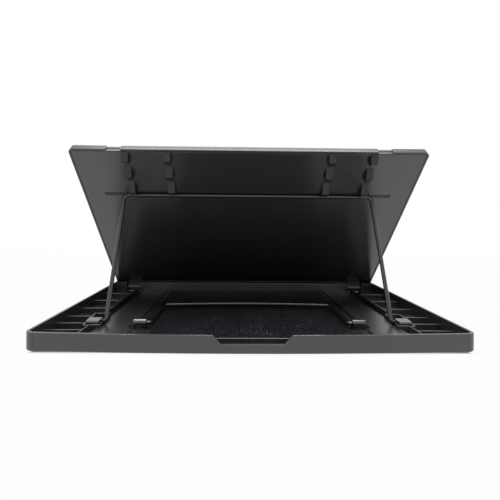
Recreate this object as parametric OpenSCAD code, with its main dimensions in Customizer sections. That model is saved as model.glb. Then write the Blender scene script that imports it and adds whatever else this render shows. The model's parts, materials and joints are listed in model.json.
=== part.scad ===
// Folding stand for a photo album: a shallow tray with a hinged display panel,
// propped by a long wire bail and, for low angles, by a short wire bail.
// Millimetres, +Z up, front of the stand towards +Y, origin on the table under the open
// stand's middle.

/* [Tray] */
// Width of the tray and of the panel
tray_w = 360; // [340:1:400]
// Depth of the tray, from its rear wall to its front end
tray_d = 226; // [222:1:240]
// Height of the tray walls above the tray's underside
tray_h = 15; // [14:0.5:18]
// Thickness of the outer walls
wall_t = 2.6; // [2:0.1:3.5]
// Thickness of the tray floor
floor_t = 2.4; // [2.2:0.1:3]
// Radius of the rear corners, seen from above
corner_r = 8; // [6:1:14]
// How far the rear wall bulges out in the middle
rear_bow = 4.5; // [1:0.5:7]
// Width of the finger notch at the top of the rear wall
notch_top_w = 62; // [50:1:80]
// Width of the finger notch at its bottom
notch_low_w = 50; // [40:1:49.9]
// Depth of the finger notch
notch_d = 7.2; // [5:0.2:9]

/* [Tray floor] */
// Height of the side plateaus above the tray's underside
plateau_h = 5; // [4.6:0.1:5.2]
// Distance of the long rails from the tray's sides
channel_w = 34.4; // [32:0.1:35.5]
// Distance of the sunk middle of the floor from the long rails
plateau_w = 38.1; // [35.6:0.1:41.6]
// Width of the groove between the plateaus and the long rails
groove_w = 5.5; // [4:0.1:6]
// Thickness of rails, ribs and pocket walls
rib_t = 1.6; // [1.2:0.1:2]
// Height of rails and ribs above the tray's underside
rail_h = 8.5; // [7:0.1:10]
// Distances of the channel ribs from the rear wall
rib_from_rear = [32.5, 51.5, 73, 103, 136.5, 173];
// Width of the finger trough behind the rear wall
trough_w = 15.1; // [12:0.1:18]
// Height of the low wall between the trough and the floor mat, above the tray's underside
trough_wall_h = 6.6; // [5.4:0.1:7]
// Thickness of the floor mat
mat_t = 1.2; // [0.8:0.1:1.6]
// Gap between the floor mat and the step at each side
mat_side_gap = 5.5; // [3:0.1:7]

/* [Feet] */
// Radius of the rubber feet
foot_r = 7; // [5:0.5:8]
// How far the feet stand out below the tray
foot_proud = 0.8; // [0.5:0.1:1.5]
// Depth of the pocket that holds each foot
foot_pocket = 0.8; // [0.5:0.1:1]
// Distance of the feet from the tray's outer edges
foot_inset = 20; // [18:1:30]

/* [Panel] */
// Tilt of the open panel from level
tilt = 46.8; // [44:0.2:50]
// Thickness of the whole panel
panel_t = 7; // [6.5:0.1:9]
// Thickness of the panel's face and rim
skin_t = 2.4; // [2:0.1:2.6]
// Thickness of the panel's back cover
back_t = 2; // [1.6:0.1:2.4]
// Radius of the panel's top corners
panel_r = 5; // [3:0.5:8]
// Distance from the panel's top edge to the first seat of the crossbar
seat_drop = 56.5; // [55.5:0.5:62.5]
// Distance between two seats
seat_pitch = 20; // [18:0.5:20.5]
// Height of the teeth above the panel's back
tooth_h = 6.5; // [5:0.1:7]
// Width of a row of teeth
tooth_w = 7; // [6:0.5:10]
// Distance of the outer rows of teeth from the long bail's legs
rack_leg_gap = 10.2; // [9:0.1:17]
// Distance between the outer and the inner rows of teeth
rack_pitch = 42.1; // [37:0.1:47]
// Distance of the notches in the top edge from the middle
edge_notch_x = 136; // [120:0.5:150]
// Width of the notches in the top edge
edge_notch_w = 14.4; // [10:0.2:18]

/* [Hinge] */
// Radius of the front beam that the panel rolls around
beam_r = 7.5; // [7:0.1:8]
// Radius of the hinge pins
pin_r = 2; // [1.5:0.1:2.2]
// Length of the hinge pins
pin_len = 40; // [36:1:44]
// Outer radius of the panel's knuckles
knuckle_r = 4.8; // [4:0.1:4.8]
// Width of the panel's knuckles
knuckle_w = 18; // [12:1:20]
// Distance of the knuckles' middles from the middle
knuckle_x = 153; // [150:1:154]

/* [Wire bails] */
// Radius of the wire
wire_r = 2; // [1.8:0.1:2.2]
// Distance of the long bail's pivot from the rear wall
long_pivot_d = 59.5; // [58:0.5:64]
// Distance of the short bail's pivot from the rear wall
short_pivot_d = 54.8; // [51:0.1:56]
// Height of the bails' pivots above the tray's underside
pivot_h = 7.8; // [7.7:0.1:8.2]
// Distance of the long bail's legs from the long rails
long_leg_in = 10.6; // [10.2:0.2:13.6]
// Bend radius of the long bail's crossbar, on the middle of the wire
long_bend_r = 5.5; // [4:0.5:8]
// Bend radius of both bails' feet, on the middle of the wire
foot_bend_r = 2.8; // [2.5:0.1:3.4]
// Distance of the short bail's legs from the step beside the floor mat
short_leg_in = 14.9; // [13.5:0.1:18.5]
// Length of the short bail's legs
short_leg = 65; // [56:0.5:68]
// How far the short bail's crossbar bows out
short_bow = 5.5; // [4:0.5:9]
// Bend radius of the short bail's crossbar, on the middle of the wire
short_bend_r = 4; // [3.5:0.5:8]

/* [Clips] */
// Depth of the long bail's clips, front to rear
long_clip_d = 14; // [13.6:0.2:16]
// Thickness of the long bail's clips above the wire
long_clip_roof = 0.9; // [0.6:0.1:1.6]
// Outer radius of the short bail's clips around the wire
short_clip_r = 4.2; // [3.8:0.1:4.8]
// Width of the short bail's clips
short_clip_w = 11.4; // [11:0.2:13]
// Length of the pocket around a long bail's clip
eye_len = 36; // [34:1:40]
// Width of the pocket around a long bail's clip
eye_w = 12.4; // [12:0.1:13]
// Turn of that pocket, its front end outwards
eye_turn = 6; // [3:0.5:8]
// Radius of the pocket around a short bail's clip
pocket_r = 10.4; // [10:0.1:11]

/* [Ledge] */
// Length of the album ledge
ledge_len = 330; // [250:1:340]
// Height of the ledge's lip above the panel's face
ledge_h = 18; // [14:0.5:20]
// Thickness of the ledge
ledge_t = 2.4; // [2:0.1:3]
// Width of the ledge's foot on the panel's face
ledge_foot = 15; // [14:0.5:20]
// Depth of the seat in the panel's face that holds the ledge's foot
ledge_sink = 1; // [0.6:0.1:1.2]
// Thickness of the ledge's rubber strip
grip_t = 1.2; // [0.8:0.1:1.6]

/* [Fit] */
// Clearance between parts that move past each other
run_gap = 0.3; // [0.2:0.05:0.4]
// Radial clearance of pins and wires in their bores
bore_gap = 0.06; // [0.03:0.01:0.08]
// Clearance around parts that sit in a pocket
seat_gap = 0.15; // [0.1:0.05:0.25]

/* [Hidden] */

$fn = 64;
eps = 0.01;
charcoal = [0.16, 0.16, 0.17];
mat_grey = [0.10, 0.10, 0.13];
gloss_black = [0.05, 0.05, 0.055];
steel = [0.62, 0.63, 0.65];
rubber_black = [0.07, 0.07, 0.07];

// heights above the table
tray_z = foot_proud;
floor_z = tray_z + floor_t;
rim_z = tray_z + tray_h;
rail_z = tray_z + rail_h;
plateau_z = tray_z + plateau_h;
pivot_z = tray_z + pivot_h;
hinge_z = rim_z - beam_r;

// the ledge's lip reaches forward of the hinge, and the origin is under the middle of it all
lip_r = ledge_t / 2;
panel_start = -6.5;
close_gap = 0.2;
under_n = beam_r + close_gap;
face_n = under_n + panel_t;
ledge_n = face_n - ledge_sink;
lip_reach = (face_n + ledge_h - lip_r) * sin(tilt) - (panel_start + lip_r) * cos(tilt) + lip_r;
overall_d = tray_d - beam_r + lip_reach;

// depths
rear_y = -overall_d / 2;
front_y = rear_y + tray_d;
hinge_y = front_y - beam_r;
beam_y = hinge_y - beam_r;
long_pivot_y = rear_y + long_pivot_d;
short_pivot_y = rear_y + short_pivot_d;
trough_wall_y = rear_y + wall_t + trough_w;
mat_rear_y = trough_wall_y + rib_t + seat_gap;

// widths, from the tray's sides inwards
rail_x = tray_w / 2 - channel_w;
recess_half = rail_x - plateau_w;
plateau_end = rail_x - rib_t / 2 - groove_w;
long_leg_x = rail_x - long_leg_in;
short_leg_x = recess_half - short_leg_in;
rack_out_x = long_leg_x - rack_leg_gap;
rack_in_x = rack_out_x - rack_pitch;
pin_end = tray_w / 2 - 0.5;

// panel, measured from the hinge axis: u along the panel, n square to it
panel_end = hinge_y - rear_y;
seat_1 = panel_end - seat_drop;
cover_gap = skin_t + seat_gap;
cover_end = panel_end - cover_gap;
cover_n = under_n + back_t;
seat_n = under_n - wire_r - run_gap;
seat_count = 3;
tooth_start = seat_1 + wire_r + run_gap;

// the open panel rests on the long bail, so the bail's length follows from the tilt
bar_y = hinge_y - seat_1 * cos(tilt) + seat_n * sin(tilt);
bar_z = hinge_z + seat_1 * sin(tilt) + seat_n * cos(tilt);
long_leg = norm([bar_y - long_pivot_y, bar_z - pivot_z]);
long_angle = atan2(bar_z - pivot_z, bar_y - long_pivot_y);

// the clips start where the bends of the wires end, and the wire feet end inside them
foot_gap = 0.4;
clip_wall = 1;
long_clip_x0 = long_leg_x + foot_bend_r + run_gap;
short_clip_x0 = short_leg_x + foot_bend_r + run_gap;
long_clip_x = long_clip_x0 + 0.57 * eye_w;
short_clip_x = short_clip_x0 + short_clip_w / 2;
long_foot_end = long_clip_x + 3;
short_foot_end = short_clip_x + 0.4;
long_clip_front = wire_r + clip_wall;
eye_shift = 5.5;

// screws: the clips' come from below, the ledge's from the front
screw_r = 1.25;
screw_head_r = 2.2;
screw_head_h = 1.2;
screw_bite = 5.4;
long_screw_x = 2.9;
long_screw_y = 6.4;
short_screw_x = short_clip_x0 + short_clip_w - screw_head_r;

// marks on the panel's back
stop_x = (rack_in_x + rack_out_x) / 2;
stop_w = 18;
stop_h = 0.6;
stop_t = 1.2;
stop_drop = 6;
groove_half = 157;
groove_depth = 0.5;
strip_half = knuckle_x - knuckle_w / 2 - 1;
strip_from = 3.2;
strip_to = 11;
strip_depth = 0.8;

// inner ribs of the panel, and the rear and front of its knuckles
panel_rib_start = 12;
knuckle_from = -4;
knuckle_to = 6;

// ---- shared shapes ----

// both sides: the children and their mirror image
module both_sides() {
    children();
    mirror([1, 0, 0]) children();
}

// left is -X
module side(s) {
    if (s < 0) mirror([1, 0, 0]) children();
    else children();
}

module bar_x(x0, x1, y, z, r) {
    translate([x0, y, z]) rotate([0, 90, 0]) cylinder(r = r, h = x1 - x0);
}

module box(low, high) {
    translate(low) cube(high - low);
}

// places the children in the panel's frame: X across, Y = u towards the top edge, Z = n
module on_panel() {
    translate([0, hinge_y, hinge_z]) rotate([-tilt, 0, 0]) mirror([0, 1, 0]) children();
}

// outline of the tray seen from above, drawn in by inset on every side
module tray_plan(inset = 0) {
    half = tray_w / 2 - inset;
    r = corner_r - inset;
    corner_x = tray_w / 2 - corner_r;
    bow_r = (corner_x * corner_x / rear_bow + rear_bow) / 2 + corner_r - inset;
    bow_y = rear_y + inset + bow_r;
    corner_y = bow_y - sqrt(pow(bow_r - r, 2) - pow(half - r, 2));
    intersection() {
        translate([0, bow_y]) circle(r = bow_r, $fn = 1440);
        translate([-(half - r), rear_y - 1]) square([2 * (half - r), corner_y - rear_y + 2]);
    }
    for (s = [-1, 1]) translate([s * (half - r), corner_y]) circle(r = r);
    translate([-half, corner_y]) square([2 * half, front_y - inset - corner_y]);
}

// turned box that encloses a long bail's clip, grown by extra
module eye_plan(extra = 0) {
    translate([long_clip_x, long_pivot_y + eye_shift]) rotate([0, 0, -eye_turn])
        square([eye_w + 2 * extra, eye_len + 2 * extra], center = true);
}

// ---- tray ----

module tray_shell() {
    difference() {
        translate([0, 0, tray_z]) linear_extrude(tray_h) tray_plan();
        translate([0, 0, floor_z]) linear_extrude(tray_h) intersection() {
            tray_plan(wall_t);
            translate([-tray_w, rear_y]) square([2 * tray_w, beam_y - rear_y]);
        }
        // the beam's upper front quarter is round
        difference() {
            box([-tray_w, hinge_y, hinge_z], [tray_w, front_y + 1, rim_z + 1]);
            bar_x(-tray_w, tray_w, hinge_y, hinge_z, beam_r);
        }
    }
}

module plateau() {
    translate([0, 0, floor_z - eps]) linear_extrude(plateau_z - floor_z + eps) intersection() {
        translate([recess_half, rear_y]) square([plateau_end - recess_half, beam_y + 1 - rear_y]);
        tray_plan(wall_t / 2);
    }
}

// low wall across the sunk floor, in front of the fingers that reach in through the notch
module trough_wall() {
    box([-recess_half - rib_t, trough_wall_y, floor_z - eps],
        [recess_half + rib_t, trough_wall_y + rib_t, tray_z + trough_wall_h]);
}

// the long rail, the ribs from it to the wall, and the wall round a clip's pocket
module rails() {
    translate([0, 0, floor_z - eps]) linear_extrude(rail_z - floor_z + eps) {
        intersection() {
            union() {
                translate([rail_x - rib_t / 2, rear_y]) square([rib_t, beam_y + 1 - rear_y]);
                for (d = rib_from_rear)
                    translate([rail_x, rear_y + d - rib_t / 2]) square([tray_w / 2 - rail_x, rib_t]);
            }
            tray_plan(wall_t / 2);
        }
        eye_plan(rib_t);
    }
}

// room for the knuckle, open to the front and above
module knuckle_slot() {
    box([knuckle_x - knuckle_w / 2 - run_gap, beam_y - 1, floor_z],
        [knuckle_x + knuckle_w / 2 + run_gap, front_y + 1, rim_z + 1]);
}

module beam_core() {
    core_r = beam_r - wall_t;
    core_end = tray_w / 2 - pin_len - 3 * wall_t;
    bar_x(-core_end, core_end, hinge_y, hinge_z - 1, core_r);
    box([-core_end, hinge_y - core_r, tray_z - 1], [core_end, hinge_y + core_r, hinge_z - 1]);
}

// hollows under the plateaus keep the moulding at one wall thickness
module plateau_cores() {
    for (span = [[rear_y + wall_t + rear_bow + floor_t, short_pivot_y - pocket_r - floor_t],
                 [long_pivot_y + eye_shift + eye_len / 2 + floor_t, beam_y - floor_t]])
        box([recess_half + floor_t, span[0], tray_z - 1],
            [plateau_end - floor_t, span[1], plateau_z - floor_t]);
}

// gap in the wall of the long clip's pocket, for the wire's bend and leg to swing in
module wire_slot() {
    slot_r = wire_r + run_gap;
    box([long_leg_x, long_pivot_y - slot_r - 1, pivot_z - slot_r],
        [long_clip_x, long_pivot_y + foot_bend_r + 2 * wire_r, rail_z + 1]);
}

// bore through the floor, with room for the head below
module screw_hole(x, y) {
    translate([x, y, tray_z - 1]) {
        cylinder(r = screw_r + bore_gap, h = floor_t + 2);
        cylinder(r = screw_head_r + seat_gap, h = screw_head_h + seat_gap + 1);
    }
}

module base_tray() {
    color(charcoal) difference() {
        union() {
            tray_shell();
            trough_wall();
            both_sides() {
                plateau();
                rails();
            }
        }
        both_sides() {
            translate([0, 0, floor_z]) linear_extrude(tray_h) eye_plan();
            translate([short_clip_x, short_pivot_y, floor_z]) cylinder(r = pocket_r, h = tray_h);
            wire_slot();
            knuckle_slot();
            plateau_cores();
            bar_x(pin_end - pin_len, tray_w / 2 + 1, hinge_y, hinge_z, pin_r + bore_gap / 2);
            screw_hole(short_screw_x, short_pivot_y);
            for (s = [-1, 1]) screw_hole(long_clip_x + s * long_screw_x, long_pivot_y - long_screw_y);
            for (y = [rear_y + foot_inset, front_y - foot_inset])
                translate([tray_w / 2 - foot_inset, y, tray_z - 1])
                    cylinder(r = foot_r + seat_gap, h = 1 + foot_pocket);
        }
        beam_core();
        // finger notch with slanted sides
        translate([0, rear_y + wall_t + rear_bow, rim_z]) rotate([90, 0, 0])
            linear_extrude(wall_t + rear_bow + 1)
                polygon([[-notch_low_w / 2, -notch_d], [notch_low_w / 2, -notch_d],
                         [notch_top_w / 2, 0], [notch_top_w / 2, 1],
                         [-notch_top_w / 2, 1], [-notch_top_w / 2, 0]]);
    }
}

module floor_mat() {
    half = recess_half - mat_side_gap;
    color(mat_grey) difference() {
        box([-half, mat_rear_y, floor_z], [half, beam_y - seat_gap, floor_z + mat_t]);
        both_sides() translate([short_clip_x, short_pivot_y, floor_z - 1])
            cylinder(r = pocket_r, h = mat_t + 2);
    }
}

module foot(sx, y) {
    color(rubber_black) translate([sx * (tray_w / 2 - foot_inset), y, 0])
        cylinder(r = foot_r, h = foot_proud + foot_pocket);
}

module hinge_pin(s) {
    color(steel) side(s) bar_x(pin_end - pin_len, pin_end, hinge_y, hinge_z, pin_r);
}

// ---- panel ----

module panel_plan(inset = 0) {
    half = tray_w / 2 - inset;
    y0 = panel_start + inset;
    y1 = panel_end - inset;
    r = panel_r - inset;
    for (s = [-1, 1]) translate([s * (half - r), y1 - r]) circle(r = r);
    translate([-half, y0]) square([2 * half, y1 - r - y0]);
    translate([-(half - r), y0]) square([2 * (half - r), y1 - y0]);
}

// shallow notches at the outer rows of teeth
module edge_notches(depth, n0, n1) {
    both_sides() box([edge_notch_x - edge_notch_w / 2, panel_end - depth, n0],
                     [edge_notch_x + edge_notch_w / 2, panel_end + 1, n1]);
}

module knuckle() {
    x0 = knuckle_x - knuckle_w / 2;
    x1 = knuckle_x + knuckle_w / 2;
    bar_x(x0, x1, 0, 0, knuckle_r);
    box([x0, knuckle_from, 0], [x1, knuckle_to, face_n - skin_t / 2]);
}

module panel_face() {
    rib_n = face_n - skin_t / 2;
    rib_xs = [0, rack_in_x - tooth_w, rack_in_x + tooth_w, rack_out_x - tooth_w, rack_out_x + tooth_w];
    color(charcoal) on_panel() difference() {
        union() {
            difference() {
                translate([0, 0, under_n]) linear_extrude(panel_t) panel_plan();
                translate([0, 0, under_n - 1]) linear_extrude(panel_t + 1 - skin_t) panel_plan(skin_t);
            }
            both_sides() {
                knuckle();
                for (x = rib_xs)
                    box([x - rib_t / 2, panel_rib_start, cover_n], [x + rib_t / 2, panel_end - skin_t, rib_n]);
            }
            for (u = [panel_rib_start, panel_end / 3, panel_end * 2 / 3])
                box([-tray_w / 2 + skin_t / 2, u - rib_t / 2, cover_n],
                    [tray_w / 2 - skin_t / 2, u + rib_t / 2, rib_n]);
        }
        // seat for the ledge's foot
        box([-ledge_len / 2 - seat_gap, panel_start - 1, ledge_n],
            [ledge_len / 2 + seat_gap, panel_start + ledge_foot + seat_gap, face_n + 1]);
        both_sides() bar_x(0, tray_w, 0, 0, pin_r + bore_gap);
        edge_notches(1.2, under_n - 1, face_n + 1);
        edge_notches(skin_t - 0.6, under_n - 1, under_n + panel_t / 2);
        for (x = ledge_screw_xs()) translate([x, ledge_screw_u(), face_n - skin_t - 1])
            cylinder(r = screw_r + bore_gap, h = skin_t + 2);
    }
}

// one tooth: square load face, short nose, long ramp down towards the top edge
module tooth(start) {
    nose = 4.7;
    load_h = tooth_h - 1.6;
    tip_h = tooth_h - 0.3;
    toe_h = 0.6;
    ramp_end = min(seat_pitch - 2 * (wire_r + run_gap), cover_end - start);
    points = [[0, 0], [0, -load_h], [nose / 2, -tip_h], [nose, -tooth_h], [ramp_end, -toe_h], [ramp_end, 0]];
    translate([0, start, under_n + eps]) rotate([90, 0, 90]) linear_extrude(tooth_w, center = true)
        polygon(points);
}

module panel_back() {
    color(charcoal) on_panel() difference() {
        union() {
            translate([0, 0, under_n]) linear_extrude(back_t) panel_plan(cover_gap);
            for (x = [rack_in_x, rack_out_x]) both_sides() translate([x, 0, 0])
                for (k = [0 : seat_count - 1]) tooth(tooth_start + k * seat_pitch);
            // low stops under the resting crossbar
            both_sides() box([stop_x - stop_w / 2, seat_1 - stop_drop - stop_t, under_n - stop_h],
                             [stop_x + stop_w / 2, seat_1 - stop_drop, under_n + back_t / 2]);
        }
        // room for the knuckles
        both_sides() box([knuckle_x - knuckle_w / 2 - run_gap, panel_start, under_n - 1],
                         [knuckle_x + knuckle_w / 2 + run_gap, knuckle_to + run_gap, cover_n + 1]);
        // sunk strip along the panel's foot
        box([-strip_half, strip_from, under_n - 1], [strip_half, strip_to, under_n + strip_depth]);
        // sunk strip behind the resting crossbar
        box([-groove_half, seat_1 - wire_r, under_n - 1],
            [groove_half, seat_1 + wire_r, under_n + groove_depth]);
    }
}

// ---- ledge ----

function ledge_screw_xs() = [for (i = [-1.5 : 1 : 1.5]) i * ledge_len / 4.4];
function ledge_screw_u() = panel_start + ledge_t + (ledge_foot - ledge_t) / 2 + 1;

module album_ledge() {
    half = ledge_len / 2;
    color(charcoal) on_panel() difference() {
        union() {
            box([-half, panel_start, ledge_n], [half, panel_start + ledge_foot, ledge_n + ledge_t]);
            box([-half, panel_start, ledge_n], [half, panel_start + ledge_t, face_n + ledge_h - lip_r]);
            bar_x(-half, half, panel_start + lip_r, face_n + ledge_h - lip_r, lip_r);
        }
        for (x = ledge_screw_xs()) translate([x, ledge_screw_u(), ledge_n - 1])
            cylinder(r = screw_r + bore_gap, h = ledge_t + 2);
    }
}

module ledge_grip() {
    half = ledge_len / 2 - 5;
    u0 = panel_start + ledge_t;
    color(rubber_black) on_panel()
        box([-half, u0, ledge_n + ledge_t + 1], [half, u0 + grip_t, face_n + ledge_h - 2 * lip_r]);
}

module ledge_screws() {
    color(steel) on_panel() for (x = ledge_screw_xs()) translate([x, ledge_screw_u(), 0]) {
        translate([0, 0, ledge_n + ledge_t]) pan_head();
        translate([0, 0, face_n - skin_t + 0.2]) cylinder(r = screw_r, h = skin_t - ledge_sink + ledge_t);
    }
}

// low round screw head with a cross recess
module pan_head() {
    difference() {
        cylinder(r = screw_head_r, h = screw_head_h);
        for (a = [0, 90]) rotate([0, 0, a]) translate([-1.3, -0.3, screw_head_h - 0.7]) cube([2.6, 0.6, 1]);
    }
}

// ---- wire bails, drawn flat: X across, Y from the pivot to the crossbar ----

// bend of the wire about the origin, from angle a0 over sweep degrees
module wire_bend(r, a0, sweep) {
    rotate([0, 0, a0]) rotate_extrude(angle = sweep) translate([r, 0]) circle(r = wire_r, $fn = 32);
}

module wire_y(x, y0, y1) {
    translate([x, y0, 0]) rotate([-90, 0, 0]) cylinder(r = wire_r, h = y1 - y0, $fn = 32);
}

module wire_x(x0, x1, y) {
    translate([x0, y, 0]) rotate([0, 90, 0]) cylinder(r = wire_r, h = x1 - x0, $fn = 32);
}

// foot that turns outwards from a leg at leg_x and ends at end_x
module wire_foot(leg_x, end_x, r) {
    translate([leg_x + r, r, 0]) wire_bend(r, 180, 90);
    wire_x(leg_x + r, end_x, 0);
}

module long_bail() {
    r = long_bend_r;
    color(gloss_black) translate([0, long_pivot_y, pivot_z]) rotate([long_angle, 0, 0]) {
        both_sides() {
            wire_foot(long_leg_x, long_foot_end, foot_bend_r);
            wire_y(long_leg_x, foot_bend_r, long_leg - r);
            translate([long_leg_x - r, long_leg - r, 0]) wire_bend(r, 0, 90);
        }
        wire_x(-(long_leg_x - r), long_leg_x - r, long_leg);
    }
}

module short_bail() {
    r = short_bend_r;
    half = short_leg_x - r;
    arc_a = 2 * atan(short_bow / half);
    corner_y = short_leg - r;
    // a corner ends where the bowed crossbar starts, on one tangent, in a low weld ring
    ring_x = half + r * sin(arc_a);
    ring_y = corner_y + r * cos(arc_a);
    ring_w = 1;
    weld_gap = 0.1;
    bow_r = ring_x / sin(arc_a);
    corner_trim = weld_gap / r * 180 / PI;
    bow_trim = weld_gap / bow_r * 180 / PI;
    color(gloss_black) translate([0, short_pivot_y, pivot_z]) {
        both_sides() {
            wire_foot(short_leg_x, short_foot_end, foot_bend_r);
            wire_y(short_leg_x, foot_bend_r, corner_y);
            translate([half, corner_y, 0]) wire_bend(r, 0, 90 - arc_a - corner_trim);
            translate([ring_x, ring_y, 0]) rotate([0, 0, -arc_a]) rotate([0, 90, 0])
                cylinder(r = wire_r + 0.1, h = ring_w, center = true);
        }
        translate([0, ring_y - bow_r * cos(arc_a), 0]) rotate([0, 0, 90 - arc_a + bow_trim])
            rotate_extrude(angle = 2 * (arc_a - bow_trim), $fn = 720) translate([bow_r, 0])
                circle(r = wire_r, $fn = 32);
    }
}

// ---- clips: bearing blocks with a blind bore for the wire's foot, screwed on from below ----

module wire_bore(x0, foot_end, y) {
    bar_x(x0, foot_end + foot_gap, y, pivot_z, wire_r + bore_gap);
}

module blind_screw_bore(x, y) {
    translate([x, y, floor_z - 1]) cylinder(r = screw_r + bore_gap, h = 1 + screw_bite + foot_gap);
}

// flat-topped block that fills the rear half of its pocket
module long_clip(s) {
    edge_r = 1.6;
    top_z = pivot_z + wire_r + long_clip_roof;
    color(gloss_black) side(s) difference() {
        intersection() {
            translate([0, 0, floor_z]) linear_extrude(tray_h) eye_plan(-seat_gap);
            translate([long_clip_x0, long_pivot_y + long_clip_front - long_clip_d, 0]) rotate([90, 0, 90])
                linear_extrude(2 * eye_w) {
                    for (y = [edge_r, long_clip_d - edge_r]) translate([y, top_z - edge_r])
                        circle(r = edge_r);
                    translate([edge_r, 0]) square([long_clip_d - 2 * edge_r, top_z]);
                    square([long_clip_d, top_z - edge_r]);
                }
        }
        wire_bore(long_leg_x, long_foot_end, long_pivot_y);
        for (e = [-1, 1]) blind_screw_bore(long_clip_x + e * long_screw_x, long_pivot_y - long_screw_y);
    }
}

// round-topped block with its screw beyond the end of the wire
module short_clip(s) {
    x0 = short_clip_x0;
    x1 = x0 + short_clip_w;
    y = short_pivot_y;
    color(gloss_black) side(s) difference() {
        union() {
            bar_x(x0, x1, y, pivot_z, short_clip_r);
            box([x0, y - short_clip_r, floor_z], [x1, y + short_clip_r, pivot_z]);
        }
        wire_bore(x0 - 1, short_foot_end, y);
        blind_screw_bore(short_screw_x, y);
    }
}

module clip_screw(x, y) {
    translate([x, y, tray_z + screw_head_h + seat_gap]) {
        mirror([0, 0, 1]) pan_head();
        translate([0, 0, -eps]) cylinder(r = screw_r, h = floor_t - screw_head_h - seat_gap + screw_bite);
    }
}

module clip_screws() {
    color(steel) both_sides() {
        clip_screw(short_screw_x, short_pivot_y);
        for (e = [-1, 1]) clip_screw(long_clip_x + e * long_screw_x, long_pivot_y - long_screw_y);
    }
}

base_tray();
floor_mat();
foot(-1, rear_y + foot_inset);  // foot_rear_left
foot(1, rear_y + foot_inset);  // foot_rear_right
foot(-1, front_y - foot_inset);  // foot_front_left
foot(1, front_y - foot_inset);  // foot_front_right
hinge_pin(-1);  // hinge_pin_left
hinge_pin(1);  // hinge_pin_right
panel_face();
panel_back();
album_ledge();
ledge_grip();
ledge_screws();
long_bail();
long_clip(-1);  // long_clip_left
long_clip(1);  // long_clip_right
short_bail();
short_clip(-1);  // short_clip_left
short_clip(1);  // short_clip_right
clip_screws();
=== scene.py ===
"""Folding photo album stand: dressed mouldings, wire bails, small fittings, materials and stage."""

import json
import math

import bmesh
import bpy
from bpy.props import FloatProperty, FloatVectorProperty, IntProperty, PointerProperty
from mathutils import Matrix, Vector


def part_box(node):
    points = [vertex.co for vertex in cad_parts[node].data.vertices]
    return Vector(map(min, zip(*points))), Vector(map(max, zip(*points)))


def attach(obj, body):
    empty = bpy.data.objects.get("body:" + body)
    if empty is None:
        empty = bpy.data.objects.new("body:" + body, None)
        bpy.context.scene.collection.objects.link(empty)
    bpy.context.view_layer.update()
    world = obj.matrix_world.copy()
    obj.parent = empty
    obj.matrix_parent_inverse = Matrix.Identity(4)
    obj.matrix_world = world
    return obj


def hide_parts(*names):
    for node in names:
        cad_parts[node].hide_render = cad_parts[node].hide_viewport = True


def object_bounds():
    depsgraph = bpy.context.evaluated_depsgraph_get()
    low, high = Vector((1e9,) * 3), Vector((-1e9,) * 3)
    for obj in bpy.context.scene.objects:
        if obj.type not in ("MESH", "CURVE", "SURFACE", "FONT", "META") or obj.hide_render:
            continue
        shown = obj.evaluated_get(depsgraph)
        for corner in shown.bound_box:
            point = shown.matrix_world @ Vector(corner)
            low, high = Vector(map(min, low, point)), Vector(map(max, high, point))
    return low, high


bl_info = {
    "name": "Photo Album Stand",
    "version": (1, 0, 0),
    "blender": (4, 5, 0),
    "location": "View3D > Sidebar > Album Stand",
    "description": "Mouldings, wire bails, fittings and materials of a folding photo album stand",
    "category": "Object",
}

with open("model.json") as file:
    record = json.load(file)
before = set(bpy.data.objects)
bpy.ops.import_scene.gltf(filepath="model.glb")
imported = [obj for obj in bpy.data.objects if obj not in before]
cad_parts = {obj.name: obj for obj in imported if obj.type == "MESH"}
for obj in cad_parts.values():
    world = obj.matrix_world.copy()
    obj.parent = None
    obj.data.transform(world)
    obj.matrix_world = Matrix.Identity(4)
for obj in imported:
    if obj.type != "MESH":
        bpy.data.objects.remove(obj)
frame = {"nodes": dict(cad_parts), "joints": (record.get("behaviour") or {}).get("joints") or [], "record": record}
CAD_BOX = [list(corner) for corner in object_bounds()]

RECORD = frame["record"]
BODY_OF = {n: body for body, nodes in RECORD["behaviour"]["bodies"].items() for n in nodes}
PIVOT = {j["name"]: Vector(j["pos_m"]) for j in frame["joints"]}
FACE_NORMAL = next(Vector(m["axis"]) for m in RECORD["mounts"] if m["name"] == "album_face")
UP = Vector((0, 0, 1))
ACROSS = Vector((1, 0, 0))
MM = 0.001

FLAT_DEG = 0.6  # faces that meet at less than this are one face
SEAM = 0.002 * MM  # points of a solid that lie closer than this are one point
ON_RING = 0.005 * MM  # how far a wire's new ring of points may lie from its plane
FLOOR_SIZE = 12.0
SHADOW_EDGE = (-8 * MM, -4 * MM)  # the floor starts to whiten inside the stand's outline
SHADOW_FADE = (0.1, 0.6)  # distances over which the soft shadow around the stand runs out
SHADOW_WHITE = 0.95  # whiteness of the floor close to the stand
SENSOR_WIDTH = 36.0


# ---------------------------------------------------------------- sizes and colours


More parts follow.
